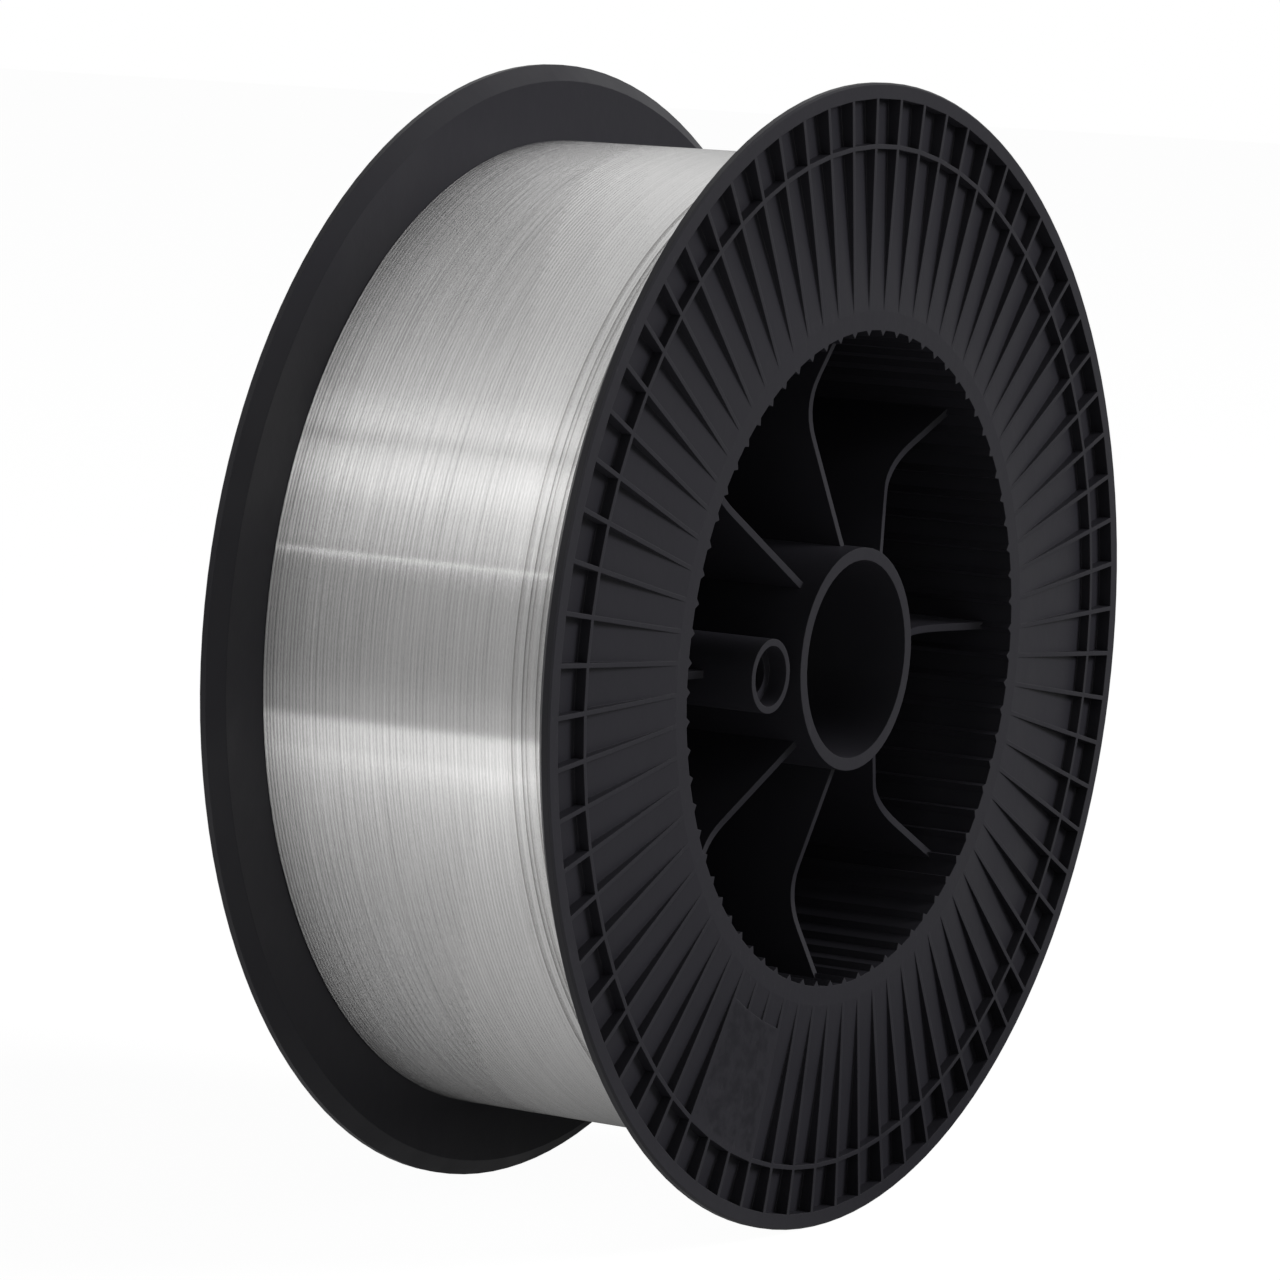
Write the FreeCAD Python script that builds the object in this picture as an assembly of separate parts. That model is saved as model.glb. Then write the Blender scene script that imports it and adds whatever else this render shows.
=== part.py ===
import FreeCAD, Part
import math
import os

# Plastic spool for welding wire with its wound wire, in millimetres.
# Everything is drawn on a vertical axis, with the label side up, and is then laid over
# so that the spool stands on its two rims, its bore along Y and its label side towards -Y.
# Angles run clockwise from straight up, as seen on the label side.

# Standard sizes of the spool
flange_radius = 150.0
spool_width = 103.0
bore_radius = 26.0
pin_circle_radius = 44.5
pin_bore_radius = 5.25
pin_angle = -90.0

# Flanges, with a rim that is bevelled on the side of the wire
flange_thickness = 5.3
rim_width = 4.2
rim_edge_thickness = 2.1
rim_edge_chamfer = 0.5

# Pockets in the outer side of each flange, which leave radial ribs and a ring rib.
# Their floor leaves the face of the flange at the barrel and falls towards the rim.
rib_count = 72
rib_thickness = 1.2
ring_rib_inset = 11.7
pocket_depth = 3.6

# Flat patch for a label, which fills some bays between the ribs of one flange
patch_first_bay = 40
patch_bays = 3
patch_to_barrel = 8.0

# Barrel that the wire is wound on, with low pointed fins inside
flange_height = 59.0
barrel_wall = 5.0
fin_height = 1.5
fin_width = 2.6

# Hub tube, middle web and the ribs that hold the hub in the barrel
hub_wall = 3.3
web_thickness = 2.5
hub_rib_count = 8
hub_rib_thickness = 2.0
hub_rib_depth_at_hub = 5.0
hub_rib_depth_at_barrel = 7.0
hub_rib_dip_to_barrel = 21.0
hub_rib_dip_depth = 18.3
hub_rib_bend = 9.0

# Boss round the hole for the drive pin, with a wider mouth on the label side
pin_boss_wall = 4.35
pin_mouth_step = 2.55
pin_mouth_depth = 5.0

# Wound wire
wire_to_flange_edge = 20.0
winding_clearance = 0.15

half_width = spool_width / 2
hub_radius = bore_radius + hub_wall
barrel_radius = flange_radius - flange_height
barrel_inner_radius = barrel_radius - barrel_wall
pocket_end_radius = flange_radius - rim_width
ring_rib_outer_radius = pocket_end_radius - ring_rib_inset
flange_inner_height = half_width - flange_thickness
hub_rib_root_radius = hub_radius - hub_wall / 2
hub_rib_end_radius = barrel_radius - barrel_wall / 2
rib_pitch = 360.0 / rib_count
up = FreeCAD.Vector(0, 0, 1)
centre = FreeCAD.Vector(0, 0, 0)


def beside_radial(radius, angle, offset):
    # A point at a distance along the radial line at an angle, and then across it, on the lower face
    along = math.radians(angle)
    x = radius * math.sin(along) + offset * math.cos(along)
    y = radius * math.cos(along) - offset * math.sin(along)
    return FreeCAD.Vector(x, y, -half_width)


def turned_copies(shape, angles):
    copies = []
    for angle in angles:
        copy = shape.copy()
        copy.rotate(centre, up, -angle)
        copies.append(copy)
    return copies


def all_round(shape, count):
    return turned_copies(shape, [index * 360.0 / count for index in range(count)])


def mirrored(shapes):
    return [shape.mirror(centre, up) for shape in shapes]


def turned_solid(outline):
    points = [FreeCAD.Vector(0, radius, height) for radius, height in outline]
    wire = Part.makePolygon(points + [points[0]])
    return Part.Face(wire).revolve(centre, up, 360)


def tube(inner_radius, outer_radius, half_height):
    outline = [
        (inner_radius, -half_height),
        (outer_radius, -half_height),
        (outer_radius, half_height),
        (inner_radius, half_height),
    ]
    return turned_solid(outline)


def turned_body():
    # Barrel, flange plates and rims as one turned section, with stock inside for the fins
    upper = [
        (barrel_radius, flange_inner_height),
        (pocket_end_radius, flange_inner_height),
        (flange_radius, half_width - rim_edge_thickness),
        (flange_radius, half_width - rim_edge_chamfer),
        (flange_radius - rim_edge_chamfer, half_width),
        (barrel_inner_radius - 2 * fin_height, half_width),
    ]
    lower = [(radius, -height) for radius, height in reversed(upper)]
    return turned_solid(upper + lower)


def pocket(inner_radius, outer_radius):
    # The space between two neighbouring radial ribs, which runs out above the face of the flange
    half_pitch = math.radians(rib_pitch / 2)
    radii = [inner_radius, outer_radius]
    halves = [radius * math.tan(half_pitch) - rib_thickness / 2 / math.cos(half_pitch) for radius in radii]
    fall = pocket_depth / (pocket_end_radius - barrel_radius)
    floors = [half_width - fall * (radius - barrel_radius) for radius in radii]
    top = half_width + pocket_depth
    wedge = Part.makeWedge(
        -halves[0], inner_radius, floors[0], floors[1], -halves[1],
        halves[0], outer_radius, top, top, halves[1],
    )
    wedge.rotate(centre, up, -rib_pitch / 2)
    return wedge


def flange_pockets():
    rim_pocket = pocket(ring_rib_outer_radius, pocket_end_radius)
    plain_pocket = pocket(barrel_radius, ring_rib_outer_radius - rib_thickness)
    patched_pocket = pocket(barrel_radius, barrel_radius + patch_to_barrel)
    patched_angles = [(patch_first_bay + index) * rib_pitch for index in range(patch_bays)]
    plain_angles = [index * rib_pitch for index in range(rib_count)]
    label_angles = [angle for angle in plain_angles if angle not in patched_angles]
    label_side = all_round(rim_pocket, rib_count)
    label_side += turned_copies(plain_pocket, label_angles)
    label_side += turned_copies(patched_pocket, patched_angles)
    plain_side = all_round(rim_pocket, rib_count) + turned_copies(plain_pocket, plain_angles)
    return label_side + mirrored(plain_side)


def barrel_bore():
    # The inside of the barrel, with a fin in line with each radial rib of the flanges
    half_fin = fin_width / 2
    outline = []
    for index in range(rib_count):
        angle = index * rib_pitch
        outline.append(beside_radial(barrel_inner_radius, angle, -half_fin))
        outline.append(beside_radial(barrel_inner_radius - fin_height, angle, 0))
        outline.append(beside_radial(barrel_inner_radius, angle, half_fin))
    foot = Part.Face(Part.makePolygon(outline + [outline[0]]))
    return foot.extrude(up * spool_width)


def hub_rib():
    # Free edge: down from the hub to a rounded dip, and up again to the barrel
    hub_end = FreeCAD.Vector(0, hub_rib_root_radius, half_width - hub_rib_depth_at_hub)
    dip = FreeCAD.Vector(0, barrel_inner_radius - hub_rib_dip_to_barrel, half_width - hub_rib_dip_depth)
    barrel_end = FreeCAD.Vector(0, hub_rib_end_radius, half_width - hub_rib_depth_at_barrel)
    bend_start = dip + (hub_end - dip).normalize() * hub_rib_bend
    bend_end = dip + (barrel_end - dip).normalize() * hub_rib_bend
    bend_middle = (bend_start + bend_end + dip * 2) * 0.25
    barrel_foot = FreeCAD.Vector(0, hub_rib_end_radius, 0)
    hub_foot = FreeCAD.Vector(0, hub_rib_root_radius, 0)
    edges = [
        Part.LineSegment(hub_end, bend_start).toShape(),
        Part.Arc(bend_start, bend_middle, bend_end).toShape(),
        Part.LineSegment(bend_end, barrel_end).toShape(),
        Part.LineSegment(barrel_end, barrel_foot).toShape(),
        Part.LineSegment(barrel_foot, hub_foot).toShape(),
        Part.LineSegment(hub_foot, hub_end).toShape(),
    ]
    side = Part.Face(Part.Wire(edges))
    side.translate(FreeCAD.Vector(-hub_rib_thickness / 2, 0, 0))
    return side.extrude(FreeCAD.Vector(hub_rib_thickness, 0, 0))


def upright_cylinder(radius, low, high):
    cylinder = Part.makeCylinder(radius, high - low, FreeCAD.Vector(0, pin_circle_radius, low))
    cylinder.rotate(centre, up, -pin_angle)
    return cylinder


def pin_holes():
    through = upright_cylinder(pin_bore_radius, -half_width, half_width)
    mouth = upright_cylinder(pin_bore_radius + pin_mouth_step, half_width - pin_mouth_depth, half_width)
    return [through, mouth]


def make_spool():
    hub = tube(bore_radius, hub_radius, half_width)
    web = tube(hub_rib_root_radius, hub_rib_end_radius, web_thickness / 2)
    boss = upright_cylinder(pin_bore_radius + pin_boss_wall, -half_width, half_width)
    label_side_ribs = all_round(hub_rib(), hub_rib_count)
    body = turned_body().cut(flange_pockets() + [barrel_bore()])
    body = body.fuse([hub, web, boss] + label_side_ribs + mirrored(label_side_ribs))
    return body.cut(pin_holes()).removeSplitter()


def make_wire_coil():
    inner_radius = barrel_radius + winding_clearance
    outer_radius = flange_radius - wire_to_flange_edge
    return tube(inner_radius, outer_radius, flange_inner_height - winding_clearance)


def lay_over(shape):
    # The label side turns from +Z to -Y, and straight up on it becomes +Z
    shape.rotate(centre, FreeCAD.Vector(1, 0, 0), 90)
    return shape


os.makedirs("parts", exist_ok=True)
nodes = {
    "spool": make_spool(),
    "wire_coil": make_wire_coil(),
}
for name, shape in nodes.items():
    solid = lay_over(shape)
    solid.exportStep(f"parts/{name}.step")
    print(name, len(solid.Solids), solid.isValid(), round(solid.Volume / 1000, 1), "cm3")
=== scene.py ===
import math
import random

import bpy
from mathutils import Matrix, Vector


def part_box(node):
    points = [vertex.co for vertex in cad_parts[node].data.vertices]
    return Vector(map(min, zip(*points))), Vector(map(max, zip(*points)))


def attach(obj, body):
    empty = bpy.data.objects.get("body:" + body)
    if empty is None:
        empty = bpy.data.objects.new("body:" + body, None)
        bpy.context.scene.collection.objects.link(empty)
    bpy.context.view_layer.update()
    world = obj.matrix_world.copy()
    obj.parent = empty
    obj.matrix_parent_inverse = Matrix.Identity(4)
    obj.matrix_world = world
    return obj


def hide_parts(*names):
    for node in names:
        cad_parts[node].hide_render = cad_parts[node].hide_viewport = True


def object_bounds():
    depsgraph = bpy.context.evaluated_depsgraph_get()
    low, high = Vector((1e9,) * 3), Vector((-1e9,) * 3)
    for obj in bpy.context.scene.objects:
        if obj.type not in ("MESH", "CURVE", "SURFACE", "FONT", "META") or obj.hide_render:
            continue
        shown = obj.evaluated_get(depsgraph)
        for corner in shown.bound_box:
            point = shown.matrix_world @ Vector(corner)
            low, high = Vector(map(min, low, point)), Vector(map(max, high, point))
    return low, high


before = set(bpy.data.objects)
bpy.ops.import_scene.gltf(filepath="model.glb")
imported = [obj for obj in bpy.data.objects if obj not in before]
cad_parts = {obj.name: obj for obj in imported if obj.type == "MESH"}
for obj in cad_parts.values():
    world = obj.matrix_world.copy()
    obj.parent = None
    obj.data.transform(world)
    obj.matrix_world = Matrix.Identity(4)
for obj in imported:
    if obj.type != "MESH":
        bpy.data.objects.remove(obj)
cad_low, cad_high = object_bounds()

MM = 0.001
HALF_TURN = 180
# Levels between which most of a noise lies
NOISE_LEVELS = (0.3, 0.7)

# The view that the photograph was taken from. The object's axis is seen a little right of the middle.
PHOTO_PIXELS = 1280
VIEW_AZIMUTH = math.radians(-58.77)
VIEW_ELEVATION = math.radians(7.60)
VIEW_ROLL = math.radians(1.93)
VIEW_DISTANCE = 1.5471
FOCAL_PIXELS = 5825.1
AXIS_RIGHT_OF_MIDDLE = 0.01266
SENSOR = 36.0

# Wound wire: the outer layer is one helix of low rounded turns, which start straight down
WIRE_PITCH = 1.0 * MM
TURN_HEIGHT = 0.08 * MM
TURN_FILL = 0.98
TURN_POINTS = 6
STEPS_ROUND = 168
SHARP_ANGLE = math.radians(60)

# How deep each turn lies. Those next to the label side are uneven, and a few of them have sunk.
WAVE_DEPTH = 0.006 * MM
WAVES_ROUND = 3
WAVE_FADE = 8
LOOSE_TURNS = 26
LOOSE_DEPTH = 0.2 * MM
SUNK_TURNS = {11: 0.45 * MM, 14: 0.6 * MM, 15: 0.3 * MM, 18: 0.45 * MM}
CROSSOVER = 0.08
DEPTH_SEED = 7
WAVE_SEED = 11

# Bright steel. Each noise on it has features in a metre round the coil, and in one turn across the coil.
STEEL_DARK = (0.645, 0.64, 0.635, 1)
STEEL_BRIGHT = (0.79, 0.785, 0.78, 1)
STEEL_ROUGHNESS = (0.04, 0.08)
TONE_FEATURES = (6, 1)
MARK_FEATURES = (30, 9)
BEND_FEATURES = (40, 0.4)
BEND_DEPTH = 0.006 * MM
# Fine grooves from drawing, along the wire: they spread what it mirrors across the turns
GROOVE = 0.037 * MM
GROOVE_SLOPE = 0.75

# Black plastic. The scale of each noise is in features a metre.
PLASTIC_DARK = (0.0170, 0.0165, 0.0205, 1)
PLASTIC_PALE = (0.0240, 0.0232, 0.0285, 1)
PLASTIC_ROUGHNESS = (0.40, 0.52)
PLASTIC_SPECULAR = 0.25
BROKEN_EDGE = 0.3 * MM
FLOW_SCALE = 38
FLOW_DEPTH = 0.25 * MM
GRAIN_SCALE = 1500
GRAIN_DEPTH = 0.012 * MM
SCUFF_COLOUR = (0.050, 0.049, 0.054, 1)
SCUFF_SCALE = 420
SCUFF_STRETCH = 5
SCUFF_LEVELS = (0.66, 0.74)
SCUFF_ROUGHNESS = 0.12
OUTER_FACE = 51.3 * MM

# Label patch on the near flange: angles clockwise from straight up, seen on the label side
PATCH_ANGLES = (200.6, 214.4)
PATCH_ANGLE_EDGE = 0.006
PATCH_RADII = (99.5 * MM, 132.0 * MM)
PATCH_RADIUS_EDGE = 0.6 * MM
MOTTLE_COLOUR = (0.0120, 0.0116, 0.0150, 1)
MOTTLE_SCALE = 260
MOTTLE_LEVELS = (0.35, 0.65)
MOTTLE_DEPTH = 0.10 * MM
MOTTLE_STRENGTH = 0.5

# Room: brightness of the walls by the angle up from the horizon in front of the coil (-X),
# over the top (90) to the horizon behind it (180)
ROOM = 1.2
LOW_WALL = [(0, 0.39), (10, 0.42), (15, 0.45), (18.4, 0.50)]
NARROW_STRIP = [(18.8, 1.46), (19.3, 1.46)]
MIDDLE_WALL = [(19.7, 0.54), (21, 0.60), (22.5, 0.70), (25, 0.70), (27, 0.77), (30.5, 0.80), (33, 0.97)]
LOWER_WINDOW = [(36.8, 1.20), (40, 1.22), (42.4, 1.18), (43.4, 0.92)]
WINDOW_BAR = [(44.6, 0.69), (45.4, 0.71)]
UPPER_WINDOW = [(46.4, 0.90), (48, 1.11), (53, 1.04)]
CEILING = [(57, 0.81), (64.6, 0.73), (76, 0.60), (90, 0.55), (99, 0.53), (108, 0.55)]
WALL_BEHIND = [(130, 0.74), (150, 0.66), (172, 0.34), (180, 0.31)]
WALL_TONES = (
    LOW_WALL + NARROW_STRIP + MIDDLE_WALL + LOWER_WINDOW + WINDOW_BAR + UPPER_WINDOW + CEILING + WALL_BEHIND
)

# Painted light and shade in the floor's glow, which the wire mirrors, by the distance from the object: a
# painted contact shadow close to it and a painted pool of light further out
CONTACT_SHADE = [(0.05, 0.03), (0.12, 0.07), (0.16, 0.29), (0.18, 0.38), (0.20, 0.44), (0.24, 0.51)]
POOL_START = [(0.30, 0.64), (0.33, 0.71), (0.38, 0.835), (0.42, 0.99)]
POOL_OF_LIGHT = [(0.45, 1.06), (0.48, 0.97), (0.54, 0.98), (0.60, 0.95)]
POOL_END = [(0.625, 0.79), (0.65, 0.59), (0.69, 0.51), (0.80, 0.49)]
FAR_FLOOR = [(1.0, 0.45), (1.3, 0.41), (2.5, 0.39)]
# Painted floor light: the pool of light and the contact shadow that the floor's glow paints
PAINTED_FLOOR_TONES = CONTACT_SHADE + POOL_START + POOL_OF_LIGHT + POOL_END + FAR_FLOOR
# Behind the coil (+X) the floor's glow paints shade: it is dark there, and darkest near the object
PAINTED_SHADE_BEHIND = 0.20
PAINTED_SHADE_NEAR = 0.01
NEAR_DISTANCES = (0.15, 0.45)
BEHIND_EDGE = 0.1
FLOOR_SIZE = 6.0
FLOOR_ALBEDO = 0.12
FLOOR_GLOW = 0.97
# Share of the room's light that falls on dull surfaces, which the lamp lights for the rest
SOFT_SHARE = 0.05

# Large soft lamp in front of the label side and above it
LAMP_PLACE = (1.4, -2.8, 1.3)
LAMP_SIZE = 1.3
LAMP_POWER = 92


def add_mesh(name, vertices, faces, smooth=True):
    mesh = bpy.data.meshes.new(name)
    mesh.from_pydata(vertices, [], faces)
    if smooth:
        mesh.shade_smooth()
    piece = bpy.data.objects.new(name, mesh)
    bpy.context.scene.collection.objects.link(piece)
    return piece


def make_camera():
    a, e, roll = VIEW_AZIMUTH, VIEW_ELEVATION, VIEW_ROLL
    back = Vector((math.sin(a) * math.cos(e), -math.cos(a) * math.cos(e), math.sin(e)))
    level = Vector((math.cos(a), math.sin(a), 0))
    upright = back.cross(level)
    right = level * math.cos(roll) + upright * math.sin(roll)
    up = upright * math.cos(roll) - level * math.sin(roll)
    data = bpy.data.cameras.new("camera")
    data.sensor_width = SENSOR
    data.lens = SENSOR * FOCAL_PIXELS / PHOTO_PIXELS
    data.clip_start = 0.05
    data.clip_end = 50
    camera = bpy.data.objects.new("camera", data)
    place = back * VIEW_DISTANCE - right * AXIS_RIGHT_OF_MIDDLE
    turn = Matrix((right, up, back)).transposed().to_4x4()
    camera.matrix_world = Matrix.Translation(place) @ turn
    bpy.context.scene.collection.objects.link(camera)
    bpy.context.scene.camera = camera


class Nodes:
    """Short calls for building one node tree."""

    def __init__(self, tree):
        self.tree = tree

    def add(self, kind, **settings):
        node = self.tree.nodes.new(kind)
        for key, value in settings.items():
            setattr(node, key, value)
        return node

    def plug(self, socket, value):
        if hasattr(value, "is_output"):
            self.tree.links.new(value, socket)
        else:
            socket.default_value = value

    def math(self, operation, a, b=0.0, c=0.0):
        node = self.add("ShaderNodeMath", operation=operation)
        for socket, value in zip(node.inputs, (a, b, c)):
            self.plug(socket, value)
        return node.outputs[0]

    def times(self, a, b):
        return self.math("MULTIPLY", a, b)

    def vector(self, operation, a, b=(0, 0, 0)):
        node = self.add("ShaderNodeVectorMath", operation=operation)
        self.plug(node.inputs[0], a)
        self.plug(node.inputs[1], b)
        return node.outputs["Vector"]

    def length(self, vector):
        node = self.add("ShaderNodeVectorMath", operation="LENGTH")
        self.plug(node.inputs[0], vector)
        return node.outputs["Value"]

    def remap(self, value, from_low, from_high, to_low, to_high):
        node = self.add("ShaderNodeMapRange", interpolation_type="SMOOTHSTEP")
        for socket, given in zip(node.inputs, (value, from_low, from_high, to_low, to_high)):
            self.plug(socket, given)
        return node.outputs[0]

    def between(self, value, low, high, edge):
        """1 where low < value < high, with soft ends of the given width."""
        rise = self.remap(value, low - edge, low + edge, 0, 1)
        fall = self.remap(value, high - edge, high + edge, 1, 0)
        return self.times(rise, fall)

    def separate(self, vector):
        node = self.add("ShaderNodeSeparateXYZ")
        self.plug(node.inputs[0], vector)
        return node.outputs

    def combine(self, x, y, z):
        node = self.add("ShaderNodeCombineXYZ")
        for socket, value in zip(node.inputs, (x, y, z)):
            self.plug(socket, value)
        return node.outputs[0]

    def noise(self, vector, scale, detail=2.0, roughness=0.5):
        node = self.add("ShaderNodeTexNoise")
        self.plug(node.inputs["Vector"], vector)
        self.plug(node.inputs["Scale"], scale)
        self.plug(node.inputs["Detail"], detail)
        self.plug(node.inputs["Roughness"], roughness)
        return node.outputs["Fac"]

    def ramp(self, factor, stops, high):
        """A grey ramp over factor, whose stops are (position, grey) between 0 and high."""
        node = self.add("ShaderNodeValToRGB")
        elements = node.color_ramp.elements
        while len(elements) < len(stops):
            elements.new(0.5)
        for element, (position, grey) in zip(elements, stops):
            element.position = position / high
            element.color = (grey, grey, grey, 1)
        self.plug(node.inputs[0], self.math("DIVIDE", factor, high))
        return node.outputs[0]

    def mix_colour(self, factor, a, b):
        node = self.add("ShaderNodeMix", data_type="RGBA")
        self.plug(node.inputs["Factor"], factor)
        self.plug(node.inputs["A"], a)
        self.plug(node.inputs["B"], b)
        return node.outputs["Result"]

    def bump(self, height, distance, normal, strength=1.0):
        node = self.add("ShaderNodeBump")
        self.plug(node.inputs["Strength"], strength)
        self.plug(node.inputs["Distance"], distance)
        self.plug(node.inputs["Height"], height)
        self.plug(node.inputs["Normal"], normal)
        return node.outputs[0]

    def object_place(self):
        return self.add("ShaderNodeTexCoord").outputs["Object"]

    def light_path(self, kind):
        return self.add("ShaderNodeLightPath").outputs[kind]


def new_material(name):
    material = bpy.data.materials.new(name)
    material.use_nodes = True
    nodes = Nodes(material.node_tree)
    return material, nodes, material.node_tree.nodes["Principled BSDF"]


def empty_nodes(owner):
    owner.use_nodes = True
    nodes = Nodes(owner.node_tree)
    nodes.tree.nodes.clear()
    return nodes


def label_patch(nodes, x, y, z):
    """1 on the flat patch of the label side, and 0 elsewhere."""
    radius = nodes.math("SQRT", nodes.math("ADD", nodes.times(x, x), nodes.times(z, z)))
    turn = nodes.math("ARCTAN2", nodes.times(x, -1), nodes.times(z, -1))
    low, high = (math.radians(angle - HALF_TURN) for angle in PATCH_ANGLES)
    in_angle = nodes.between(turn, low, high, PATCH_ANGLE_EDGE)
    in_radius = nodes.between(radius, *PATCH_RADII, PATCH_RADIUS_EDGE)
    label_side = nodes.math("LESS_THAN", y, -OUTER_FACE)
    return nodes.times(nodes.times(in_angle, in_radius), label_side)


def plastic():
    """Black moulded plastic: fine mould grain, faint flow marks, and scuffs where the outer faces rub."""
    material, nodes, shader = new_material("black_plastic")
    place = nodes.object_place()
    x, y, z = nodes.separate(place)
    grain = nodes.noise(place, GRAIN_SCALE, detail=3)
    flow = nodes.noise(place, FLOW_SCALE, detail=3, roughness=0.55)
    mottle = nodes.noise(place, MOTTLE_SCALE, detail=4, roughness=0.6)
    outer = nodes.math("GREATER_THAN", nodes.math("ABSOLUTE", y), OUTER_FACE)
    stretched = nodes.combine(nodes.times(x, SCUFF_STRETCH), y, z)
    scratches = nodes.remap(nodes.noise(stretched, SCUFF_SCALE), *SCUFF_LEVELS, 0, 1)
    scuffs = nodes.times(nodes.times(scratches, outer), flow)
    mottled = nodes.times(label_patch(nodes, x, y, z), nodes.remap(mottle, *MOTTLE_LEVELS, 0, 1))
    base = nodes.mix_colour(flow, PLASTIC_DARK, PLASTIC_PALE)
    base = nodes.mix_colour(scuffs, base, SCUFF_COLOUR)
    base = nodes.mix_colour(mottled, base, MOTTLE_COLOUR)
    nodes.plug(shader.inputs["Base Color"], base)
    rough = nodes.remap(flow, *NOISE_LEVELS, *PLASTIC_ROUGHNESS)
    rough = nodes.math("ADD", rough, nodes.times(scuffs, SCUFF_ROUGHNESS))
    nodes.plug(shader.inputs["Roughness"], rough)
    nodes.plug(shader.inputs["Specular IOR Level"], PLASTIC_SPECULAR)
    edges = nodes.add("ShaderNodeBevel", samples=4)
    nodes.plug(edges.inputs["Radius"], BROKEN_EDGE)
    normal = nodes.bump(flow, FLOW_DEPTH, edges.outputs[0])
    normal = nodes.bump(mottle, MOTTLE_DEPTH, normal, MOTTLE_STRENGTH)
    normal = nodes.bump(grain, GRAIN_DEPTH, normal)
    nodes.plug(shader.inputs["Normal"], normal)
    return material


def steel():
    """Bright drawn wire: each turn has its own tone and slight bends, with drawing marks along it."""
    material, nodes, shader = new_material("bright_wire")
    x, y, z = nodes.separate(nodes.object_place())

    def noise_on_wire(features):
        around, in_turn = features
        across = in_turn / WIRE_PITCH
        place = nodes.combine(nodes.times(x, around), nodes.times(y, across), nodes.times(z, around))
        return nodes.noise(place, 1)

    base = nodes.mix_colour(noise_on_wire(TONE_FEATURES), STEEL_DARK, STEEL_BRIGHT)
    nodes.plug(shader.inputs["Base Color"], base)
    nodes.plug(shader.inputs["Metallic"], 1.0)
    rough = nodes.remap(noise_on_wire(MARK_FEATURES), *NOISE_LEVELS, *STEEL_ROUGHNESS)
    nodes.plug(shader.inputs["Roughness"], rough)
    groove = nodes.math("PINGPONG", nodes.math("DIVIDE", y, GROOVE), 1.0)
    slope = nodes.math("MULTIPLY_ADD", groove, 2 * GROOVE_SLOPE, -GROOVE_SLOPE)
    outward = nodes.add("ShaderNodeNewGeometry").outputs["Normal"]
    tilted = nodes.vector("NORMALIZE", nodes.vector("ADD", outward, nodes.combine(0, slope, 0)))
    nodes.plug(shader.inputs["Normal"], nodes.bump(noise_on_wire(BEND_FEATURES), BEND_DEPTH, tilted))
    return material


def turn_depths(turns):
    """How far each turn lies below the top of the coil."""
    draw = random.Random(DEPTH_SEED)
    depths = []
    for turn in range(turns + 2):
        depth = WAVE_DEPTH * draw.random()
        if turn < LOOSE_TURNS:
            depth += LOOSE_DEPTH * draw.random() * (1 - turn / LOOSE_TURNS)
        depths.append(depth + SUNK_TURNS.get(turn, 0))
    return depths


def wire_depth(turns):
    """A function for the wire's depth below the top of the coil, at a share of the way round a turn."""
    depths = turn_depths(turns)
    draw = random.Random(WAVE_SEED)
    phases = [draw.uniform(0, 2 * math.pi) for _ in range(turns + 2)]

    def depth_at(turn, share):
        here, there = depths[turn], depths[turn + 1]
        blend = max(0.0, (share - 1 + CROSSOVER) / CROSSOVER)
        blend = blend * blend * (3 - 2 * blend)
        wave = WAVE_DEPTH * (1 + math.sin(2 * math.pi * WAVES_ROUND * share + phases[turn])) / 2
        return here + (there - here) * blend + wave * (1 - (2 * share - 1) ** WAVE_FADE)

    return depth_at


def on_coil(radius, y, share):
    angle = math.pi + 2 * math.pi * share
    return radius * math.sin(angle), y, radius * math.cos(angle)


def helix_vertices(low, high, turns):
    """Rows of vertices over the rounded top of the wire, all along the helix."""
    pitch = (high.y - low.y) / (turns - 1)
    foot = high.z - TURN_HEIGHT
    depth_at = wire_depth(turns)
    vertices = []
    for step in range(turns * STEPS_ROUND + 1):
        turn, at = divmod(step, STEPS_ROUND)
        share = at / STEPS_ROUND
        start = low.y + pitch * (turn + share - 1)
        sunk = depth_at(turn, share)
        for k in range(TURN_POINTS):
            across = 2 * k / (TURN_POINTS - 1) - 1
            y = start + pitch / 2 * (1 + TURN_FILL * across)
            radius = foot - sunk + TURN_HEIGHT * (1 - across * across)
            vertices.append(on_coil(radius, min(max(y, low.y), high.y), share))
    return vertices


def helix_faces(steps):
    """Faces over the wire, and from each turn to the one beside it."""
    last = TURN_POINTS - 1
    beside = TURN_POINTS * STEPS_ROUND
    faces = []
    for step in range(steps):
        here = step * TURN_POINTS
        there = here + TURN_POINTS
        for k in range(last):
            faces.append((here + k, here + k + 1, there + k + 1, there + k))
        if step + STEPS_ROUND < steps:
            faces.append((here + last, here + beside, there + beside, there + last))
    return faces


def closing_faces(steps, bore):
    """Faces of the coil's inside and its two ends. The vertices of the inside start at bore."""
    first_row = range(TURN_POINTS)
    closing = steps * TURN_POINTS
    last_turn = closing - STEPS_ROUND * TURN_POINTS + TURN_POINTS - 1
    faces = []
    for at in range(STEPS_ROUND):
        near = bore + at
        near_next = bore + (at + 1) % STEPS_ROUND
        far = near + STEPS_ROUND
        far_next = near_next + STEPS_ROUND
        first = at * TURN_POINTS
        first_next = first + TURN_POINTS
        end = last_turn + at * TURN_POINTS
        end_next = end + TURN_POINTS
        faces.append((near, near_next, far_next, far))
        faces.append((near, first, first_next, near_next))
        faces.append((far, far_next, end_next, end))
    faces.append((bore, STEPS_ROUND * TURN_POINTS, *reversed(first_row)))
    faces.append((bore + STEPS_ROUND, last_turn, *range(closing, closing + TURN_POINTS)))
    return faces


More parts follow.
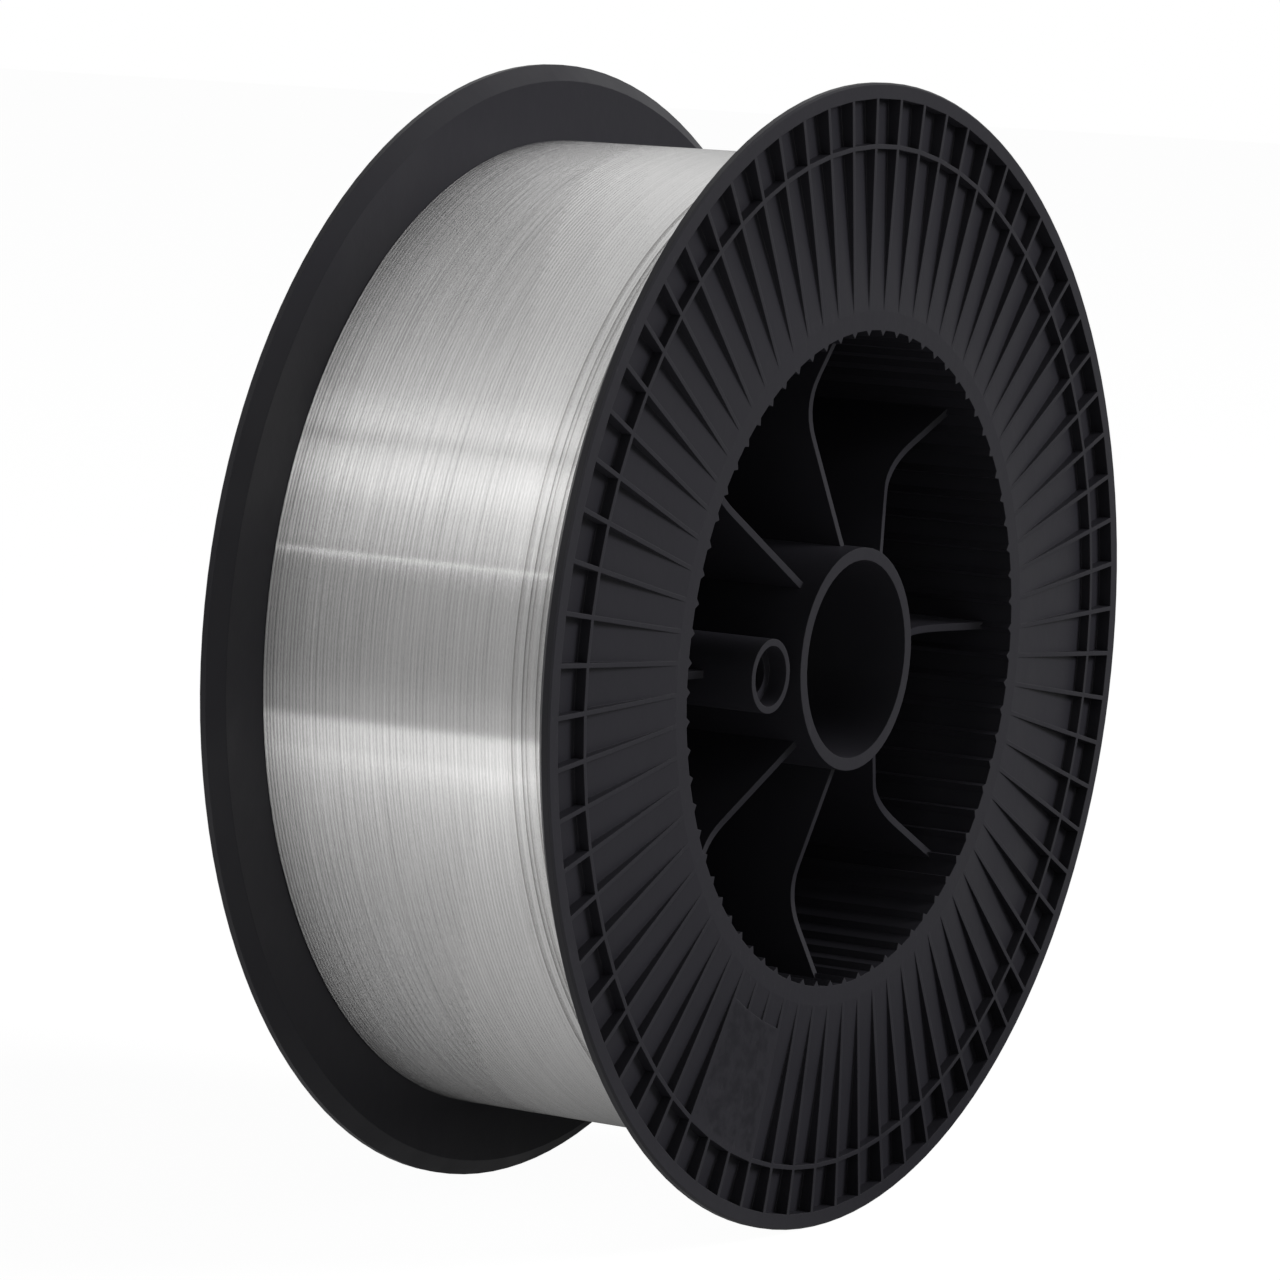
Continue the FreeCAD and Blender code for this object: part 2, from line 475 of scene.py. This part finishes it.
def wound_wire():
    """The wire as a closed body: its outer layer is one helix of rounded turns, from flange to flange."""
    low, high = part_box("wire_coil")
    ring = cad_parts["wire_coil"].data.vertices
    inner_radius = min(math.hypot(vertex.co.x, vertex.co.z) for vertex in ring)
    turns = round((high.y - low.y) / WIRE_PITCH) + 1
    steps = turns * STEPS_ROUND
    vertices = helix_vertices(low, high, turns)
    faces = helix_faces(steps) + closing_faces(steps, len(vertices))
    for y in (low.y, high.y):
        vertices += [on_coil(inner_radius, y, at / STEPS_ROUND) for at in range(STEPS_ROUND)]
    piece = add_mesh("wound_wire", vertices, faces)
    piece.data.set_sharp_from_angle(angle=SHARP_ANGLE)
    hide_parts("wire_coil")
    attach(piece, "root")
    return piece


def room_strength(nodes):
    """Full strength in what the wire mirrors, and a small share of it on dull surfaces."""
    return nodes.remap(nodes.light_path("Is Diffuse Ray"), 0, 1, ROOM, ROOM * SOFT_SHARE)


def seen_as(nodes, mirrored, plain):
    """The camera sees the plain shader, and everything else meets the mirrored one."""
    choice = nodes.add("ShaderNodeMixShader")
    nodes.plug(choice.inputs[0], nodes.light_path("Is Camera Ray"))
    nodes.plug(choice.inputs[1], mirrored.outputs[0])
    nodes.plug(choice.inputs[2], plain.outputs[0])
    return choice.outputs[0]


def pale_floor():
    """The camera sees the floor plain, and the wire mirrors a painted glow on it: a painted pool of light,
    with painted shadow near the object and painted shade behind it.
    """
    material = bpy.data.materials.new("pale_floor")
    nodes = empty_nodes(material)
    place = nodes.object_place()
    distance = nodes.length(place)
    # Painted pool of light and painted contact shadow, by the distance from the object
    painted_pool_and_shadow = nodes.ramp(distance, PAINTED_FLOOR_TONES, PAINTED_FLOOR_TONES[-1][0])
    # Painted shade behind the coil, darkest near the object
    painted_floor_shade = nodes.remap(distance, *NEAR_DISTANCES, PAINTED_SHADE_NEAR, PAINTED_SHADE_BEHIND)
    behind = nodes.remap(nodes.separate(place)[0], -BEHIND_EDGE, BEHIND_EDGE, 0, 1)
    # Glow which carries this painted light and shade, for every ray but the camera's
    mirrored = nodes.add("ShaderNodeEmission")
    nodes.plug(mirrored.inputs["Color"], nodes.mix_colour(behind, painted_pool_and_shadow, painted_floor_shade))
    nodes.plug(mirrored.inputs["Strength"], room_strength(nodes))
    sheet = nodes.add("ShaderNodeBsdfDiffuse")
    nodes.plug(sheet.inputs["Color"], (FLOOR_ALBEDO, FLOOR_ALBEDO, FLOOR_ALBEDO, 1))
    glow = nodes.add("ShaderNodeEmission")
    nodes.plug(glow.inputs["Strength"], FLOOR_GLOW)
    plain = nodes.add("ShaderNodeAddShader")
    nodes.plug(plain.inputs[0], sheet.outputs[0])
    nodes.plug(plain.inputs[1], glow.outputs[0])
    output = nodes.add("ShaderNodeOutputMaterial")
    nodes.plug(output.inputs["Surface"], seen_as(nodes, mirrored, plain))
    return material


def floor():
    """A pale sheet under the object."""
    size = FLOOR_SIZE
    z = cad_low.z
    vertices = [(-size, -size, z), (size, -size, z), (size, size, z), (-size, size, z)]
    piece = add_mesh("floor", vertices, [(0, 1, 2, 3)], smooth=False)
    piece.data.materials.append(pale_floor())


def room_light():
    """Soft walls and ceiling round the object, brighter and darker in bands along the object's axis."""
    world = bpy.data.worlds.new("studio")
    nodes = empty_nodes(world)
    x, _, z = nodes.separate(nodes.add("ShaderNodeTexCoord").outputs["Generated"])
    height = nodes.math("ABSOLUTE", nodes.math("ARCTAN2", z, nodes.times(x, -1)))
    degrees = nodes.times(height, HALF_TURN / math.pi)
    walls = nodes.add("ShaderNodeBackground")
    nodes.plug(walls.inputs["Color"], nodes.ramp(degrees, WALL_TONES, HALF_TURN))
    nodes.plug(walls.inputs["Strength"], room_strength(nodes))
    plain = nodes.add("ShaderNodeBackground")
    nodes.plug(plain.inputs["Color"], (1, 1, 1, 1))
    output = nodes.add("ShaderNodeOutputWorld")
    nodes.plug(output.inputs["Surface"], seen_as(nodes, walls, plain))
    bpy.context.scene.world = world
    bpy.context.scene.view_settings.view_transform = "Standard"


def lamp():
    """Lights the dull plastic from the front. The wire mirrors only the room."""
    data = bpy.data.lights.new("front_lamp", "AREA")
    data.shape = "DISK"
    data.size = LAMP_SIZE
    data.energy = LAMP_POWER
    light = bpy.data.objects.new("front_lamp", data)
    place = Vector(LAMP_PLACE)
    light.matrix_world = Matrix.Translation(place) @ place.to_track_quat("Z", "Y").to_matrix().to_4x4()
    light.visible_camera = False
    light.visible_glossy = False
    bpy.context.scene.collection.objects.link(light)


make_camera()
floor()
room_light()
lamp()
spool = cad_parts["spool"]
spool.data.materials.clear()
spool.data.materials.append(plastic())
wire = wound_wire()
wire.data.materials.append(steel())
